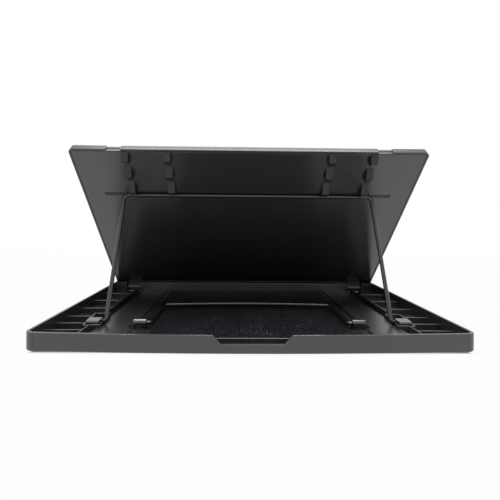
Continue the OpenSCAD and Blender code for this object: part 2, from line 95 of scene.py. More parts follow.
class AlbumStandSizes(bpy.types.PropertyGroup):
    """Sizes of the finish and of the wires, in metres."""

    edge_round: FloatProperty(
        name="Edge rounding", description="Radius on the edges of the mouldings",
        default=0.55 * MM, min=0, unit="LENGTH")
    back_round: FloatProperty(
        name="Panel back rounding", description="Radius on the edges of the panel's back and teeth",
        default=0.25 * MM, min=0, unit="LENGTH")
    keel_round: FloatProperty(
        name="Underside rounding", description="Radius on the tray's outer bottom edge",
        default=1.8 * MM, min=0, unit="LENGTH")
    clip_round: FloatProperty(
        name="Clip rounding", description="Radius on the edges of the glossy clips",
        default=0.5 * MM, min=0, unit="LENGTH")
    small_round: FloatProperty(
        name="Small rounding", description="Radius on the edges of screws and the floor lining",
        default=0.12 * MM, min=0, unit="LENGTH")
    back_depth: FloatProperty(
        name="Back depth", description="Distance of the panel's back from the hinge axis",
        default=7.7 * MM, unit="LENGTH")
    wire_radius: FloatProperty(
        name="Wire radius", description="Radius of both bails' wire",
        default=2 * MM, min=0, unit="LENGTH")
    wire_sides: IntProperty(
        name="Wire sides", description="Points around the wire", default=32, min=8)
    wire_chamfer: FloatProperty(
        name="Wire chamfer", description="Chamfer on the cut ends of both bails' wire",
        default=0.3 * MM, min=0, unit="LENGTH")
    long_leg_x: FloatProperty(
        name="Long bail leg", description="Distance of the long bail's legs from the middle",
        default=135 * MM, unit="LENGTH")
    long_bend: FloatProperty(
        name="Long bail bend", description="Bend radius of the long bail's crossbar",
        default=5.5 * MM, unit="LENGTH")
    foot_bend: FloatProperty(
        name="Foot bend", description="Bend radius where both bails turn into their clips",
        default=2.8 * MM, unit="LENGTH")
    short_leg_x: FloatProperty(
        name="Short bail leg", description="Distance of the short bail's legs from the middle",
        default=92.6 * MM, unit="LENGTH")
    short_bend: FloatProperty(
        name="Short bail bend", description="Bend radius of the short bail's crossbar",
        default=4 * MM, unit="LENGTH")
    short_leg: FloatProperty(
        name="Short bail depth", description="Length of the short bail's legs",
        default=65 * MM, unit="LENGTH")
    short_bow: FloatProperty(
        name="Short bail bow", description="How far the short bail's crossbar bows out",
        default=5.5 * MM, unit="LENGTH")
    grip_ribs: IntProperty(
        name="Grip ribs", description="Ribs along the ledge's rubber strip", default=7, min=1)
    grip_relief: FloatProperty(
        name="Grip relief", description="Height of the ribs on the ledge's rubber strip",
        default=0.5 * MM, min=0, unit="LENGTH")
    foot_rim: FloatProperty(
        name="Foot rim", description="Radius on the lower rim of the rubber feet",
        default=0.35 * MM, min=0, unit="LENGTH")
    foot_groove: FloatProperty(
        name="Foot groove", description="Depth of the ring groove in the rubber feet",
        default=0.3 * MM, min=0, unit="LENGTH")
    pin_chamfer: FloatProperty(
        name="Pin chamfer", description="Chamfer on both ends of the hinge pins",
        default=0.4 * MM, min=0, unit="LENGTH")


class AlbumStandColours(bpy.types.PropertyGroup):
    """Base colours, scene linear."""

    charcoal: FloatVectorProperty(
        name="Charcoal plastic", description="Tray, panel and ledge",
        subtype="COLOR", size=3, min=0, max=1, default=(0.041, 0.040, 0.042))
    lining: FloatVectorProperty(
        name="Floor lining", description="Sheet on the sunk floor",
        subtype="COLOR", size=3, min=0, max=1, default=(0.005, 0.005, 0.0065))
    wire: FloatVectorProperty(
        name="Bail coating", description="Coating of the wire bails",
        subtype="COLOR", size=3, min=0, max=1, default=(0.014, 0.014, 0.0145))
    clip: FloatVectorProperty(
        name="Clip plastic", description="Bearing blocks of the bails",
        subtype="COLOR", size=3, min=0, max=1, default=(0.028, 0.028, 0.029))
    steel: FloatVectorProperty(
        name="Steel", description="Pins and screws",
        subtype="COLOR", size=3, min=0, max=1, default=(0.52, 0.52, 0.53))
    rubber: FloatVectorProperty(
        name="Rubber", description="Feet and the ledge's strip",
        subtype="COLOR", size=3, min=0, max=1, default=(0.018, 0.018, 0.018))
    dust: FloatVectorProperty(
        name="Dust", description="Dust on the mouldings",
        subtype="COLOR", size=3, min=0, max=1, default=(0.30, 0.29, 0.27))
    lint: FloatVectorProperty(
        name="Lint", description="Dust on the floor lining",
        subtype="COLOR", size=3, min=0, max=1, default=(0.20, 0.21, 0.24))
    # Painted glints: pale grains in the lining's colour.
    painted_glint: FloatVectorProperty(
        name="Sparkle", description="Pale grains in the floor lining",
        subtype="COLOR", size=3, min=0, max=1, default=(0.15, 0.15, 0.18))
    floor: FloatVectorProperty(
        name="Studio floor", description="Floor under the stand",
        subtype="COLOR", size=3, min=0, max=1, default=(0.76, 0.76, 0.76))


class AlbumStandStage(bpy.types.PropertyGroup):
    """Light and camera."""

    sky: FloatProperty(
        name="Room light", description="Strength of the even light around the stand",
        default=0.04, min=0)
    overhead: FloatProperty(
        name="Overhead softbox", description="Power of the softbox above the stand, in watts",
        default=12, min=0, subtype="POWER", unit="POWER")
    softbox_place: FloatVectorProperty(
        name="Softbox place", description="Where the softbox hangs",
        subtype="TRANSLATION", unit="LENGTH", size=3, default=(0, -0.12, 1.0))
    softbox_size: FloatVectorProperty(
        name="Softbox size", description="Width and depth of the softbox",
        unit="LENGTH", size=2, min=0, default=(0.9, 0.5))
    eye: FloatVectorProperty(
        name="Camera place", description="Where the camera stands",
        subtype="TRANSLATION", unit="LENGTH", size=3, default=(-0.01484, -0.39082, 0.10781))
    yaw: FloatProperty(
        name="Camera yaw", description="Turn of the camera to the right",
        subtype="ANGLE", default=math.radians(0.9224))
    roll: FloatProperty(
        name="Camera roll", description="Tilt of the camera, right side up",
        subtype="ANGLE", default=math.radians(0.5003))
    lens: FloatProperty(
        name="Lens", description="Focal length on a 36 mm wide sensor, in millimetres",
        subtype="DISTANCE_CAMERA", default=24.909)
    shift: FloatVectorProperty(
        name="Camera shift", description="Sideways and upward shift of the lens",
        size=2, default=(0.0192, -0.06705))


def sizes():
    return bpy.context.scene.album_stand_sizes


def colours():
    return bpy.context.scene.album_stand_colours


# ---------------------------------------------------------------- shader groups


def new_group(name, inputs, outputs):
    """A shader node group with its sockets, and its two end nodes."""
    group = bpy.data.node_groups.new(name, "ShaderNodeTree")
    for label, kind, value in inputs:
        socket = group.interface.new_socket(name=label, in_out="INPUT", socket_type=kind)
        socket.default_value = value
    for label, kind in outputs:
        group.interface.new_socket(name=label, in_out="OUTPUT", socket_type=kind)
    start = group.nodes.new("NodeGroupInput")
    end = group.nodes.new("NodeGroupOutput")
    return group, start, end


def add_math(tree, operation, first, second=None, clamp=False):
    """A Math node whose inputs are sockets or plain numbers; returns its output."""
    node = tree.nodes.new("ShaderNodeMath")
    node.operation = operation
    node.use_clamp = clamp
    for slot, value in enumerate((first, second)):
        if value is None:
            continue
        if isinstance(value, (int, float)):
            node.inputs[slot].default_value = value
        else:
            tree.links.new(value, node.inputs[slot])
    return node.outputs[0]


def add_range(tree, value, low, high, to_low=0.0, to_high=1.0):
    """A clamped Map Range node; returns its output."""
    node = tree.nodes.new("ShaderNodeMapRange")
    tree.links.new(value, node.inputs["Value"])
    node.inputs["From Min"].default_value = low
    node.inputs["From Max"].default_value = high
    node.inputs["To Min"].default_value = to_low
    node.inputs["To Max"].default_value = to_high
    return node.outputs["Result"]


def add_noise(tree, coordinates, scale, detail=2.0, roughness=0.5):
    """A Noise node whose scale is a socket or a plain number; returns its value."""
    node = tree.nodes.new("ShaderNodeTexNoise")
    node.inputs["Detail"].default_value = detail
    node.inputs["Roughness"].default_value = roughness
    tree.links.new(coordinates, node.inputs["Vector"])
    if isinstance(scale, (int, float)):
        node.inputs["Scale"].default_value = scale
    else:
        tree.links.new(scale, node.inputs["Scale"])
    return node.outputs["Fac"]


def object_coordinates(tree):
    """The Object output of a Texture Coordinate node."""
    return tree.nodes.new("ShaderNodeTexCoord").outputs["Object"]


def mould_grain_group():
    """Spark-eroded mould texture: a fine relief, and broad clouds of tone."""
    group, start, end = new_group(
        "Mould Grain",
        [("Grain Scale", "NodeSocketFloat", 1800.0), ("Cloud Scale", "NodeSocketFloat", 9.0)],
        [("Height", "NodeSocketFloat"), ("Cloud", "NodeSocketFloat")])
    place = object_coordinates(group)
    fine = add_noise(group, place, start.outputs["Grain Scale"], 3.0, 0.62)
    cell = group.nodes.new("ShaderNodeTexVoronoi")
    cell.feature = "SMOOTH_F1"
    group.links.new(place, cell.inputs["Vector"])
    group.links.new(start.outputs["Grain Scale"], cell.inputs["Scale"])
    pits = add_math(group, "MULTIPLY", cell.outputs["Distance"], 0.5)
    height = add_math(group, "ADD", fine, pits)
    cloud = add_noise(group, place, start.outputs["Cloud Scale"], 4.0, 0.55)
    group.links.new(height, end.inputs["Height"])
    group.links.new(add_range(group, cloud, 0.32, 0.68), end.inputs["Cloud"])
    return group


def edge_wear_and_highlight_group():
    """A mask that is 1 on handled edges and 0 on open faces, broken up by noise: edge wear, and a painted
    highlight along the edges.
    """
    group, start, end = new_group(
        "Edge Wear And Highlight",
        [("Width", "NodeSocketFloat", 0.8 * MM), ("Amount", "NodeSocketFloat", 0.5)],
        [("Mask", "NodeSocketFloat")])
    rounded = group.nodes.new("ShaderNodeBevel")
    rounded.samples = 4
    group.links.new(start.outputs["Width"], rounded.inputs["Radius"])
    geometry = group.nodes.new("ShaderNodeNewGeometry")
    facing = group.nodes.new("ShaderNodeVectorMath")
    facing.operation = "DOT_PRODUCT"
    group.links.new(rounded.outputs["Normal"], facing.inputs[0])
    group.links.new(geometry.outputs["Normal"], facing.inputs[1])
    # Edge mask for wear and for a painted highlight along the edges.
    edge = add_range(group, facing.outputs["Value"], 0.995, 0.86)
    broken = add_noise(group, object_coordinates(group), 260.0, 4.0, 0.65)
    worn_and_highlighted = add_math(group, "MULTIPLY", edge, add_range(group, broken, 0.35, 0.62))
    mask = add_math(group, "MULTIPLY", worn_and_highlighted, start.outputs["Amount"], clamp=True)
    group.links.new(mask, end.inputs["Mask"])
    return group


def settled_dust_group():
    """A mask of pale specks and a thin film on faces that look up."""
    group, start, end = new_group(
        "Settled Dust",
        [("Film", "NodeSocketFloat", 0.1), ("Specks", "NodeSocketFloat", 0.5)],
        [("Mask", "NodeSocketFloat")])
    place = object_coordinates(group)
    normal = group.nodes.new("ShaderNodeSeparateXYZ")
    group.links.new(group.nodes.new("ShaderNodeNewGeometry").outputs["Normal"], normal.inputs[0])
    upward = add_range(group, normal.outputs["Z"], 0.3, 0.95)
    patches = add_range(group, add_noise(group, place, 55.0, 5.0, 0.6), 0.4, 0.75)
    film = add_math(group, "MULTIPLY", patches, start.outputs["Film"])
    spots = group.nodes.new("ShaderNodeTexVoronoi")
    spots.inputs["Scale"].default_value = 240.0
    group.links.new(place, spots.inputs["Vector"])
    where = add_range(group, add_noise(group, place, 70.0, 1.0), 0.56, 0.64)
    speck = add_math(group, "MULTIPLY", add_range(group, spots.outputs["Distance"], 0.11, 0.06), where)
    speck = add_math(group, "MULTIPLY", speck, start.outputs["Specks"])
    total = add_math(group, "ADD", film, speck)
    group.links.new(add_math(group, "MULTIPLY", total, upward, clamp=True), end.inputs["Mask"])
    return group


def shared_group(name):
    """The shared effect of that name, built the first time that it is asked for."""
    builders = {"Mould Grain": mould_grain_group, "Edge Wear And Highlight": edge_wear_and_highlight_group,
                "Settled Dust": settled_dust_group}
    return bpy.data.node_groups.get(name) or builders[name]()


# ---------------------------------------------------------------- materials


def use_group(material, name, **values):
    """Places a shared effect in a material with its own values; returns the node."""
    node = material.node_tree.nodes.new("ShaderNodeGroup")
    node.node_tree = shared_group(name)
    for label, value in values.items():
        node.inputs[label.replace("_", " ")].default_value = value
    return node


def mix_colour(tree, factor, first, second):
    """A colour Mix node; first and second are sockets or colours of three numbers."""
    node = tree.nodes.new("ShaderNodeMix")
    node.data_type = "RGBA"
    tree.links.new(factor, node.inputs["Factor"])
    for label, value in (("A", first), ("B", second)):
        socket = next(s for s in node.inputs if s.name == label and s.type == "RGBA")
        if isinstance(value, bpy.types.NodeSocket):
            tree.links.new(value, socket)
        else:
            socket.default_value = (*value, 1)
    return next(s for s in node.outputs if s.type == "RGBA")


def scaled(colour, factor):
    """A colour made darker or lighter by a factor."""
    return tuple(min(1, channel * factor) for channel in colour)


def add_bump(tree, height, shader, distance):
    """Gives a shader a relief of that height, in metres."""
    bump = tree.nodes.new("ShaderNodeBump")
    bump.inputs["Distance"].default_value = distance
    bump.inputs["Strength"].default_value = 1.0
    tree.links.new(height, bump.inputs["Height"])
    tree.links.new(bump.outputs["Normal"], shader.inputs["Normal"])


def new_material(name):
    """A material, its node tree and its Principled shader."""
    material = bpy.data.materials.new(name)
    material.use_nodes = True
    return material, material.node_tree, material.node_tree.nodes["Principled BSDF"]


def add_roughness(tree, mask, shader, low, high):
    """Lets the roughness run from low to high with a mask."""
    tree.links.new(add_range(tree, mask, 0, 1, low, high), shader.inputs["Roughness"])


def moulded_plastic(name, colour, rough, grain, relief, worn_and_highlighted, film=0.12, specks=0.4, shine=1.0):
    """Moulded plastic: cloudy tone, fine grain, edges rubbed smoother and painted lighter, partly as wear and
    partly as a painted highlight, a little dust.
    """
    material, tree, shader = new_material(name)
    texture = use_group(material, "Mould Grain", Grain_Scale=grain, Cloud_Scale=9.0)
    wear_and_highlight = use_group(material, "Edge Wear And Highlight", Width=0.8 * MM, Amount=worn_and_highlighted)
    dust = use_group(material, "Settled Dust", Film=film, Specks=specks)
    tone = mix_colour(tree, texture.outputs["Cloud"], scaled(colour, 0.9), scaled(colour, 1.1))
    # Edges painted lighter: partly wear, partly a painted highlight along the edges.
    tone = mix_colour(tree, wear_and_highlight.outputs["Mask"], tone, scaled(colour, 2.4))
    tone = mix_colour(tree, dust.outputs["Mask"], tone, colours().dust)
    tree.links.new(tone, shader.inputs["Base Color"])
    roughness = add_range(tree, texture.outputs["Cloud"], 0, 1, rough - 0.04, rough + 0.05)
    rubbed = add_math(tree, "MULTIPLY", wear_and_highlight.outputs["Mask"], 0.12)
    roughness = add_math(tree, "SUBTRACT", roughness, rubbed, clamp=True)
    tree.links.new(roughness, shader.inputs["Roughness"])
    shader.inputs["Specular IOR Level"].default_value = shine
    add_bump(tree, texture.outputs["Height"], shader, relief)
    return material


def charcoal_plastic(name):
    """The panel's face and the ledge."""
    return moulded_plastic(
        name, colours().charcoal, rough=0.34, grain=1800.0, relief=0.002 * MM, worn_and_highlighted=0.25, shine=0.65)


def toothed_plastic(name):
    """The panel's smoother back, with painted shade on the teeth that stand proud and in the sunk grooves, where
    its reflection is turned down.
    """
    material = moulded_plastic(
        name, colours().charcoal, rough=0.22, grain=1800.0, relief=0.005 * MM, worn_and_highlighted=0.25)
    tree = material.node_tree
    depth = tree.nodes.new("ShaderNodeVectorMath")
    depth.operation = "DOT_PRODUCT"
    depth.inputs[1].default_value = FACE_NORMAL
    tree.links.new(object_coordinates(tree), depth.inputs[0])
    back = FACE_NORMAL.dot(PIVOT["panel_tilt"]) + sizes().back_depth
    # Painted shade: the reflection is turned down on the proud teeth and in the sunk grooves.
    teeth_painted_shade = add_range(tree, depth.outputs["Value"], back - 0.9 * MM, back - 0.3 * MM, 0.38, 1.0)
    groove_painted_shade = add_range(tree, depth.outputs["Value"], back + 0.1 * MM, back + 0.4 * MM, 1.0, 0.35)
    shine = add_math(tree, "MULTIPLY", teeth_painted_shade, groove_painted_shade)
    tree.links.new(shine, tree.nodes["Principled BSDF"].inputs["Specular IOR Level"])
    return material


def tray_plastic(name):
    """The tray, coarser than the panel, its colour painted a little darker than the panel's as shade."""
    return moulded_plastic(
        # Painted shade: the charcoal is scaled darker for the tray.
        name, scaled(colours().charcoal, 0.8), rough=0.30, grain=1300.0, relief=0.015 * MM, worn_and_highlighted=0.5,
        film=0.03, shine=0.95)


def clip_plastic(name):
    """Glossy plastic of the bearing blocks."""
    return moulded_plastic(
        name, colours().clip, rough=0.18, grain=2200.0, relief=0.006 * MM, worn_and_highlighted=0.4,
        film=0.05, specks=0.2)


def floor_lining(name):
    """Dark sheet with a fine pebble, painted glints as pale grains in its colour, and scattered dust."""
    material, tree, shader = new_material(name)
    colour = colours().lining
    texture = use_group(material, "Mould Grain", Grain_Scale=900.0, Cloud_Scale=22.0)
    dust = use_group(material, "Settled Dust", Film=0.02, Specks=0.9)
    # Painted glints: pale grains mixed into the colour.
    glint_noise = add_noise(tree, object_coordinates(tree), 650.0, 2.0)
    painted_glint = add_range(tree, glint_noise, 0.60, 0.72)
    tone = mix_colour(tree, texture.outputs["Cloud"], scaled(colour, 0.7), scaled(colour, 1.35))
    tone = mix_colour(tree, painted_glint, tone, colours().painted_glint)
    tone = mix_colour(tree, dust.outputs["Mask"], tone, colours().lint)
    tree.links.new(tone, shader.inputs["Base Color"])
    add_roughness(tree, texture.outputs["Cloud"], shader, 0.40, 0.52)
    shader.inputs["Specular IOR Level"].default_value = 0.15
    add_bump(tree, texture.outputs["Height"], shader, 0.06 * MM)
    return material


def bail_wire(name):
    """Powder-coated wire: soft orange peel, rubbed lighter and rougher in scattered patches."""
    material, tree, shader = new_material(name)
    colour = colours().wire
    place = object_coordinates(tree)
    peel = add_noise(tree, place, 620.0, 2.0, 0.5)
    rubbed = add_range(tree, add_noise(tree, place, 34.0, 5.0, 0.7), 0.55, 0.8)
    tone = mix_colour(tree, rubbed, scaled(colour, 0.9), scaled(colour, 1.7))
    tree.links.new(tone, shader.inputs["Base Color"])
    add_roughness(tree, rubbed, shader, 0.16, 0.26)
    shader.inputs["Specular IOR Level"].default_value = 0.8
    add_bump(tree, peel, shader, 0.015 * MM)
    return material


def pin_steel(name):
    """Bright steel with fine turning marks."""
    material, tree, shader = new_material(name)
    colour = colours().steel
    shader.inputs["Metallic"].default_value = 1.0
    place = object_coordinates(tree)
    stretched = tree.nodes.new("ShaderNodeMapping")
    stretched.inputs["Scale"].default_value = (1.0, 12.0, 12.0)
    tree.links.new(place, stretched.inputs["Vector"])
    marks = add_noise(tree, stretched.outputs["Vector"], 500.0, 3.0, 0.6)
    tone = mix_colour(tree, marks, scaled(colour, 0.82), scaled(colour, 1.08))
    tree.links.new(tone, shader.inputs["Base Color"])
    tree.links.new(add_range(tree, marks, 0.3, 0.7, 0.24, 0.42), shader.inputs["Roughness"])
    add_bump(tree, marks, shader, 0.01 * MM)
    return material


def soft_rubber(name):
    """Matt rubber with a faint bloom."""
    material, tree, shader = new_material(name)
    colour = colours().rubber
    texture = use_group(material, "Mould Grain", Grain_Scale=1200.0, Cloud_Scale=60.0)
    tone = mix_colour(tree, texture.outputs["Cloud"], scaled(colour, 0.8), scaled(colour, 1.9))
    tree.links.new(tone, shader.inputs["Base Color"])
    add_roughness(tree, texture.outputs["Cloud"], shader, 0.72, 0.85)
    add_bump(tree, texture.outputs["Height"], shader, 0.03 * MM)
    return material


FINISH = {
    "charcoal_plastic": charcoal_plastic,
    "toothed_plastic": toothed_plastic,
    "tray_plastic": tray_plastic,
    "floor_lining": floor_lining,
    "bail_wire": bail_wire,
    "clip_plastic": clip_plastic,
    "pin_steel": pin_steel,
    "soft_rubber": soft_rubber,
}


def finish(look):
    """The material of that look, built the first time that it is asked for."""
    name = "dressed_" + look
    return bpy.data.materials.get(name) or FINISH[look](name)


# ---------------------------------------------------------------- shaping


def panel_frame():
    """Maps (across, up the panel, square to it), from the hinge axis, to the row frame."""
    lift, lean = FACE_NORMAL.y, FACE_NORMAL.z
    turn = Matrix(((1, 0, 0, 0), (0, -lean, lift, 0), (0, lift, lean, 0), (0, 0, 0, 1)))
    return Matrix.Translation(PIVOT["panel_tilt"]) @ turn


def box_on_panel(node):
    """Lowest and highest corner of a CAD node, measured along the open panel."""
    inverse = panel_frame().inverted()
    points = [inverse @ v.co for v in frame["nodes"][node].data.vertices]
    low = Vector(min(p[i] for p in points) for i in range(3))
    high = Vector(max(p[i] for p in points) for i in range(3))
    return low, high


def finish_piece(name, bm, body, slot, stands_for=(), sharp=32, look=""):
    """Makes an object of a bmesh, shades it, gives it its material and puts it on its body."""
    mesh = bpy.data.meshes.new(name)
    bm.normal_update()
    bm.to_mesh(mesh)
    bm.free()
    mesh.shade_smooth()
    mesh.set_sharp_from_angle(angle=math.radians(sharp))
    piece = bpy.data.objects.new(name, mesh)
    bpy.context.scene.collection.objects.link(piece)
    mesh.materials.append(finish(look or slot))
    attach(piece, body)
    if stands_for:
        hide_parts(*stands_for)
    even = piece.modifiers.new("Even shading", "WEIGHTED_NORMAL")
    even.keep_sharp = True
    even.weight = 60
    return piece


def under_outline(bm, low, high, reach=(9 * MM, 6 * MM)):
    """The edges along the outline of a moulding's underside.

    They lie in its lowest plane, within reach of its left or right side or of its rear or front.
    """
    def is_outline(edge):
        flat = all(v.co.z < low.z + 0.01 * MM for v in edge.verts)
        return flat and any(
            all(abs(v.co[axis] - side[axis]) < reach[axis] for v in edge.verts)
            for axis in (0, 1) for side in (low, high))

    return [e for e in bm.edges if e.is_manifold and e.is_convex and is_outline(e)]


def round_edges(bm, edges, radius, segments):
    """Rounds edges with an arc of that many segments."""
    bmesh.ops.bevel(
        bm, geom=edges, offset=radius, offset_type="OFFSET", segments=segments, profile=0.5,
        affect="EDGES", clamp_overlap=False, material=-1)


def rounded_copy(node, rounding, angle=28, keel=0):
    """A copy of a CAD moulding with its seams closed and its outer edges rounded.

    With a keel radius, the outline of the underside gets that larger radius.
    """
    bm = bmesh.new()
    bm.from_mesh(frame["nodes"][node].data)
    bmesh.ops.remove_doubles(bm, verts=bm.verts, dist=SEAM)
    bmesh.ops.dissolve_limit(
        bm, angle_limit=math.radians(FLAT_DEG), verts=bm.verts, edges=bm.edges,
        use_dissolve_boundaries=False)
    if keel:
        round_edges(bm, under_outline(bm, *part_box(node)), keel, segments=5)
    sharp = [
        e for e in bm.edges
        if e.is_manifold and e.is_convex and e.calc_face_angle() > math.radians(angle)
        and e.calc_length() > 2 * rounding
    ]
    round_edges(bm, sharp, rounding, segments=2)
    return bm


def corners_of(made):
    """The points among the parts that an extrusion made."""
    return [v for v in made if isinstance(v, bmesh.types.BMVert)]


def turned(profile, steps=48):
    """A solid of revolution about Z from (radius, height) points that start and end on the axis."""
    bm = bmesh.new()
    verts = [bm.verts.new((radius, 0, height)) for radius, height in profile]
    edges = [bm.edges.new(pair) for pair in zip(verts, verts[1:])]
    bmesh.ops.spin(
        bm, geom=verts + edges, cent=(0, 0, 0), axis=UP, angle=math.tau, steps=steps, use_merge=True)
    bmesh.ops.remove_doubles(bm, verts=bm.verts, dist=0.001 * MM)
    bmesh.ops.recalc_face_normals(bm, faces=bm.faces)
    return bm


class WireRun:
    """A round wire, drawn by extruding and spinning one ring of points along its bends."""

    def __init__(self, start, radius, sides):
        self.bm = bmesh.new()
        self.tip = Vector(start)
        self.heading = ACROSS.copy()
        ring = bmesh.ops.create_circle(self.bm, segments=sides, radius=radius)
        turn = UP.rotation_difference(self.heading).to_matrix().to_4x4()
        bmesh.ops.transform(self.bm, matrix=Matrix.Translation(self.tip) @ turn, verts=ring["verts"])
        self.ring = self.bm.edges[:]
        self.ends = [self.ring]

    def straight(self, length, steps=1):
        """Runs on by a length, in equal steps."""
        for _ in range(steps):
            made = bmesh.ops.extrude_edge_only(self.bm, edges=self.ring)["geom"]
            move = self.heading * (length / steps)
            bmesh.ops.translate(self.bm, vec=move, verts=corners_of(made))
            self.tip += move
            self.ring = [e for e in made if isinstance(e, bmesh.types.BMEdge) and self.is_at_tip(e)]
        return self

    def is_at_tip(self, edge):
        return all(abs((v.co - self.tip).dot(self.heading)) < ON_RING for v in edge.verts)

    def bend(self, degrees, radius, steps):
        """Turns left for a positive angle, seen from above."""
        side = UP.cross(self.heading) * math.copysign(radius, degrees)
        centre = self.tip + side
        verts = list({v for e in self.ring for v in e.verts})
        made = bmesh.ops.spin(
            self.bm, geom=verts + self.ring, cent=centre, axis=UP, angle=math.radians(degrees),
            steps=steps)
        self.ring = [e for e in made["geom_last"] if isinstance(e, bmesh.types.BMEdge)]
        turn = Matrix.Rotation(math.radians(degrees), 3, UP)
        self.tip = centre + turn @ (self.tip - centre)
        self.heading = turn @ self.heading
        return self

    def close(self, chamfer):
        """Caps both ends with a small chamfer and returns the bmesh."""
        rims = []
        for ring in (self.ends[0], self.ring):
            bmesh.ops.edgeloop_fill(self.bm, edges=ring)
            rims += ring
        round_edges(self.bm, rims, chamfer, segments=2)
        bmesh.ops.recalc_face_normals(self.bm, faces=self.bm.faces)
        return self.bm


# ---------------------------------------------------------------- operators


class PieceOperator:
    """What the operators of the stand's pieces share."""

    bl_options = {"REGISTER", "UNDO"}


class ALBUMSTAND_OT_tray(PieceOperator, bpy.types.Operator):
    """Dress the shallow base tray with its rails, ribs and pockets"""

    bl_idname = "album_stand.tray"
    bl_label = "Base tray"

    def execute(self, context):
        bm = rounded_copy("base_tray", sizes().edge_round, keel=sizes().keel_round)
        finish_piece(
            "tray_moulding", bm, "base", "charcoal_plastic", ["base_tray"], look="tray_plastic")
        return {"FINISHED"}


class ALBUMSTAND_OT_lining(PieceOperator, bpy.types.Operator):
    """Lay the dark sheet on the sunk floor of the tray"""

    bl_idname = "album_stand.lining"
    bl_label = "Floor lining"

    def execute(self, context):
        bm = rounded_copy("floor_mat", sizes().small_round)
        finish_piece("floor_lining_sheet", bm, "base", "floor_lining", ["floor_mat"])
        return {"FINISHED"}


class ALBUMSTAND_OT_feet(PieceOperator, bpy.types.Operator):
    """Make the rubber feet with their rounded rim and ring groove"""

    bl_idname = "album_stand.feet"
    bl_label = "Rubber feet"

    def execute(self, context):
        for node in ("foot_rear_left", "foot_rear_right", "foot_front_left", "foot_front_right"):
            low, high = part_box(node)
            radius, height = (high.x - low.x) / 2, high.z - low.z
            rim, groove = sizes().foot_rim, sizes().foot_groove
            profile = [
                (0, 0), (0.50 * radius, 0), (0.54 * radius, groove), (0.62 * radius, groove),
                (0.66 * radius, 0), (radius - rim, 0), (radius - 0.3 * rim, 0.3 * rim), (radius, rim),
                (radius, height), (0, height)]
            bm = turned(profile)
            centre = (low + high) / 2
            bmesh.ops.translate(bm, vec=(centre.x, centre.y, low.z), verts=bm.verts)
            finish_piece("rubber_" + node, bm, "base", "soft_rubber", [node])
        return {"FINISHED"}


class ALBUMSTAND_OT_hinge_pins(PieceOperator, bpy.types.Operator):
    """Make the steel pins that the panel turns on"""

    bl_idname = "album_stand.hinge_pins"
    bl_label = "Hinge pins"

    def execute(self, context):
        for node in ("hinge_pin_left", "hinge_pin_right"):
            low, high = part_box(node)
            radius, length, chamfer = (high.z - low.z) / 2, high.x - low.x, sizes().pin_chamfer
            profile = [(0, 0), (radius - chamfer, 0), (radius, chamfer), (radius, length - chamfer),
                       (radius - chamfer, length), (0, length)]
            bm = turned(profile, 32)
            bmesh.ops.rotate(bm, matrix=Matrix.Rotation(math.radians(90), 3, "Y"), verts=bm.verts)
            centre = (low + high) / 2
            bmesh.ops.translate(bm, vec=(low.x, centre.y, centre.z), verts=bm.verts)
            finish_piece("steel_" + node, bm, "base", "pin_steel", [node])
        return {"FINISHED"}


class ALBUMSTAND_OT_panel(PieceOperator, bpy.types.Operator):
    """Dress the panel's face and its back with the rows of teeth"""

    bl_idname = "album_stand.panel"
    bl_label = "Display panel"

    def execute(self, context):
        for node, name, rounding, look in (
                ("panel_face", "panel_face_shell", sizes().edge_round, "charcoal_plastic"),
                ("panel_back", "panel_back_cover", sizes().back_round, "toothed_plastic")):
            bm = rounded_copy(node, rounding)
            finish_piece(name, bm, "panel", "charcoal_plastic", [node], look=look)
        return {"FINISHED"}


class ALBUMSTAND_OT_ledge(PieceOperator, bpy.types.Operator):
    """Dress the ledge that the album stands on"""

    bl_idname = "album_stand.ledge"
    bl_label = "Album ledge"

    def execute(self, context):
        bm = rounded_copy("album_ledge", sizes().edge_round)
        finish_piece("ledge_moulding", bm, "panel", "charcoal_plastic", ["album_ledge"])
        return {"FINISHED"}


class ALBUMSTAND_OT_ledge_grip(PieceOperator, bpy.types.Operator):
    """Make the ribbed rubber strip inside the ledge's lip"""

    bl_idname = "album_stand.ledge_grip"
    bl_label = "Ledge grip"

    def execute(self, context):
        low, high = box_on_panel("ledge_grip")
        ribs = sizes().grip_ribs
        pitch = (high.z - low.z) / ribs
        crest, root = high.y, high.y - sizes().grip_relief
        outline = [(low.y, low.z)]
        for rib in range(ribs):
            base = low.z + rib * pitch
            outline += [(root, base + 0.08 * pitch), (crest, base + 0.3 * pitch),
                        (crest, base + 0.7 * pitch), (root, base + 0.92 * pitch)]
        outline.append((low.y, high.z))
        bm = bmesh.new()
        face = bm.faces.new([bm.verts.new((low.x, u, n)) for u, n in outline])
        made = bmesh.ops.extrude_face_region(bm, geom=[face])["geom"]
        bmesh.ops.translate(bm, vec=(high.x - low.x, 0, 0), verts=corners_of(made))
        bmesh.ops.transform(bm, matrix=panel_frame(), verts=bm.verts)
        bmesh.ops.recalc_face_normals(bm, faces=bm.faces)
        finish_piece("rubber_ledge_grip", bm, "panel", "soft_rubber", ["ledge_grip"])
        return {"FINISHED"}


class ALBUMSTAND_OT_screws(PieceOperator, bpy.types.Operator):
    """Dress the screws of the ledge and of the clips"""

    bl_idname = "album_stand.screws"
    bl_label = "Screws"

    def execute(self, context):
        for node in ("ledge_screws", "clip_screws"):
            bm = rounded_copy(node, sizes().small_round, angle=35)
            finish_piece("steel_" + node, bm, BODY_OF[node], "pin_steel", [node])
        return {"FINISHED"}


